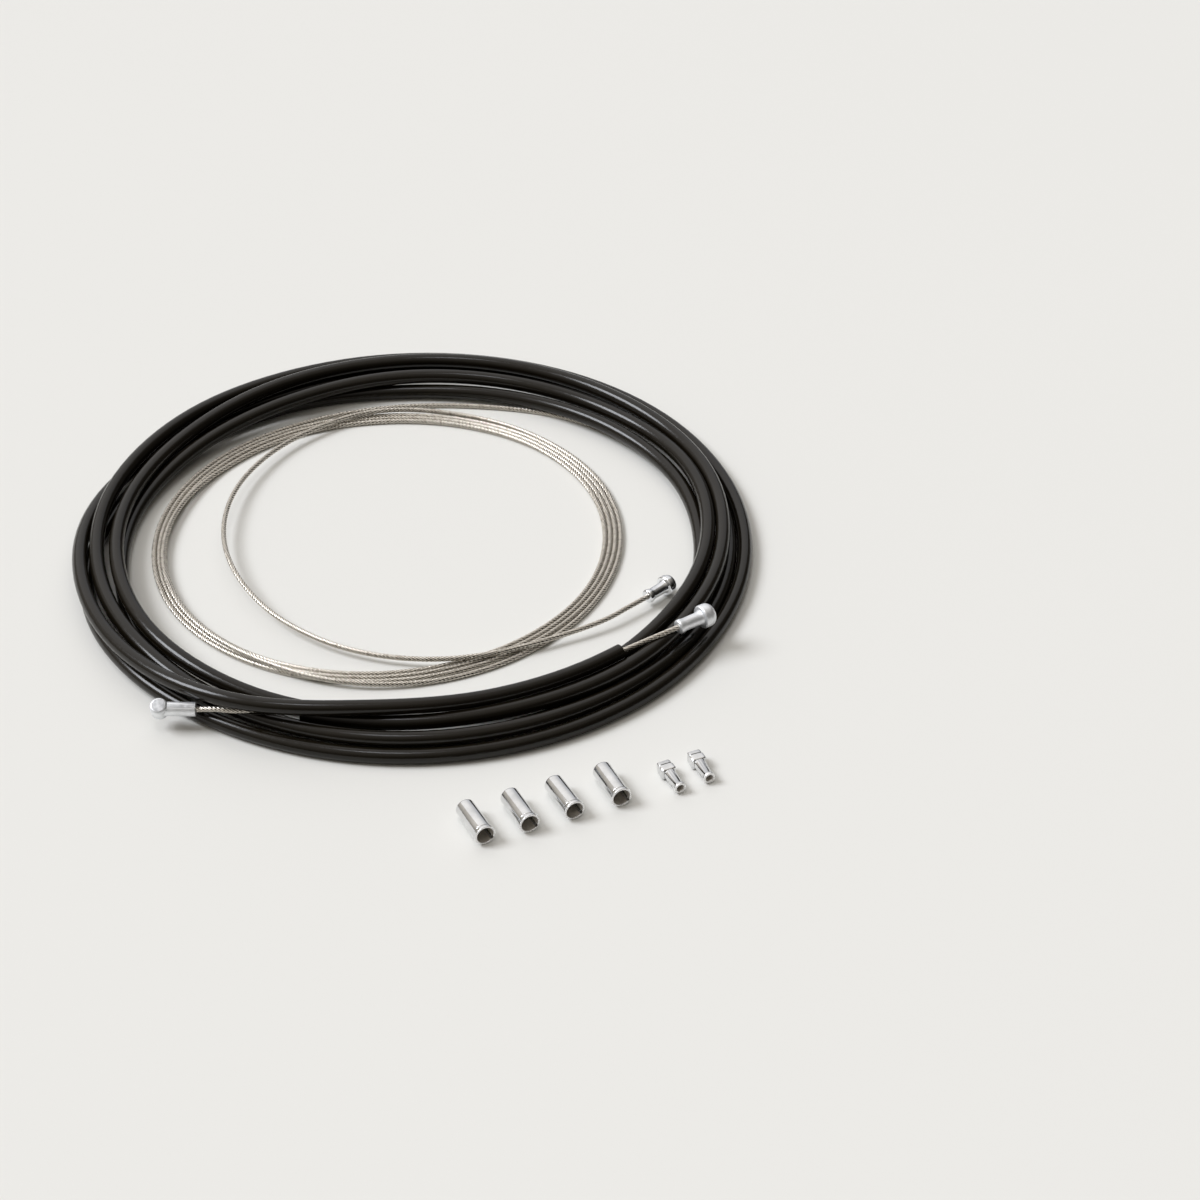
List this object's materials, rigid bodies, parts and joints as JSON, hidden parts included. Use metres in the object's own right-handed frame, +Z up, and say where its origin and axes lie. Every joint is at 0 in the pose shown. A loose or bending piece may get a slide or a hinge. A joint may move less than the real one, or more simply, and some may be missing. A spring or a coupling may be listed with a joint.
{
  "type": "bicycle brake cable set",
  "caption": "Bicycle brake cable laid out flat: coiled black outer casing with its inner wire, a loose inner wire coil, ferrules and crimp end tips.",
  "frame": {"origin": "centre of the set's footprint, on the floor that it lies on", "axes": "+Z up; +Y from the ferrules in front to the back of the coil; +X to the right as pictured"},
  "size_m": [0.226, 0.2656, 0.0156],
  "materials": {
    "jacket": "satin black",
    "wound_steel": "plain",
    "liner": "smooth",
    "strand": "stranded",
    "cast_head": "dull cast",
    "bright_head": "bright",
    "fitting_metal": "bright drawn"
  },
  "bodies": {
    "root": {"casing_jacket": "jacket", "casing_wound_steel": "wound_steel", "casing_liner": "liner", "inner_wire_housed": "strand", "mushroom_head_housed": "cast_head", "barrel_head": "cast_head", "inner_wire_loose": "strand", "mushroom_head_loose": "bright_head", "ferrule_1": "fitting_metal", "ferrule_2": "fitting_metal", "ferrule_3": "fitting_metal", "ferrule_4": "fitting_metal", "end_tip_1": "fitting_metal", "end_tip_2": "fitting_metal"}
  },
  "joints": []
}
